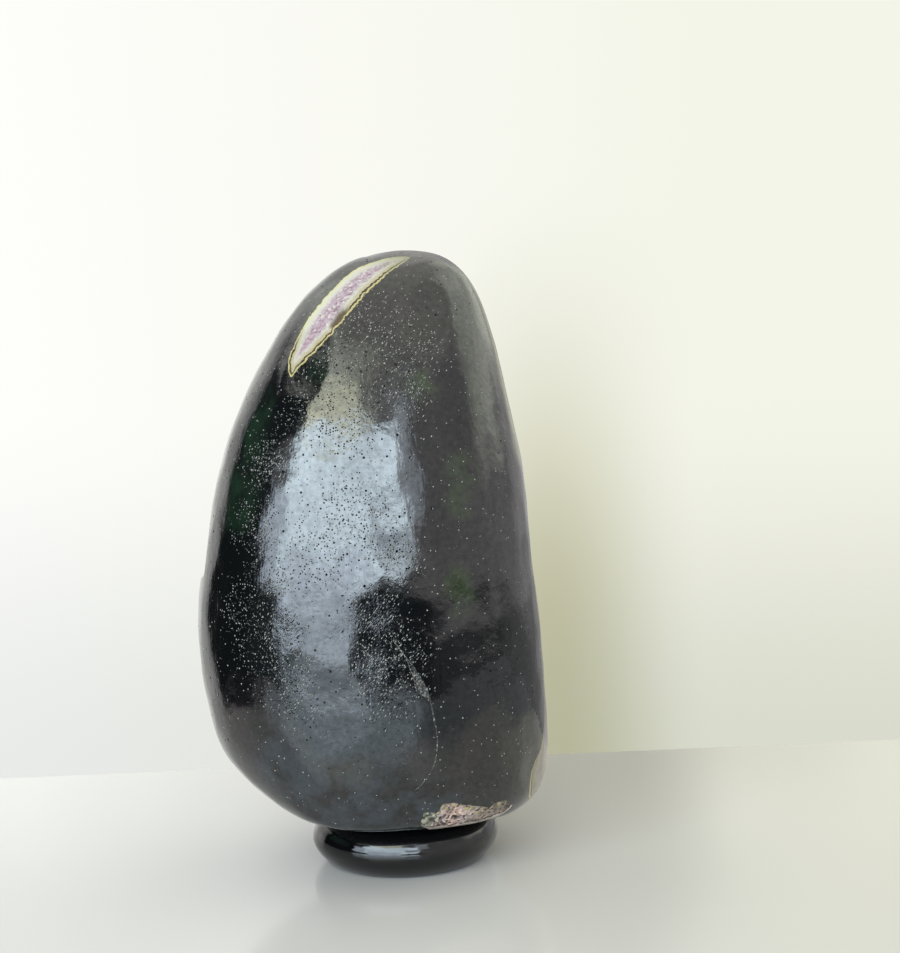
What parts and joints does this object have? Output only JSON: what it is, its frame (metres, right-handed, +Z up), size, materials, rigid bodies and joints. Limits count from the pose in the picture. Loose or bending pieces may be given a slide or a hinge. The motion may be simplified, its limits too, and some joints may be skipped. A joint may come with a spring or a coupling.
{
  "type": "amethyst geode egg on ring stand",
  "caption": "Tall polished geode egg with a black basalt skin, a slit of amethyst and agate near its top, resting on a round black glass ring.",
  "frame": {"origin": "on the surface that the ring stands on, under the middle of the whole object's bounding box", "axes": "+Z up along the egg's height, -Y towards the viewer of the picture, +X to that viewer's right"},
  "size_m": [0.1292, 0.1166, 0.2285],
  "materials": {
    "polished_basalt": "polished black basalt, glossy, with fine open gas pits, soft grinding flats, and flush windows of gold, cream and lavender agate and amethyst",
    "black_glass": "opaque black glass, fire-polished, with a ground band underneath"
  },
  "bodies": {
    "root": {"amethyst_egg": "polished_basalt", "ring_stand": "black_glass"}
  },
  "joints": []
}
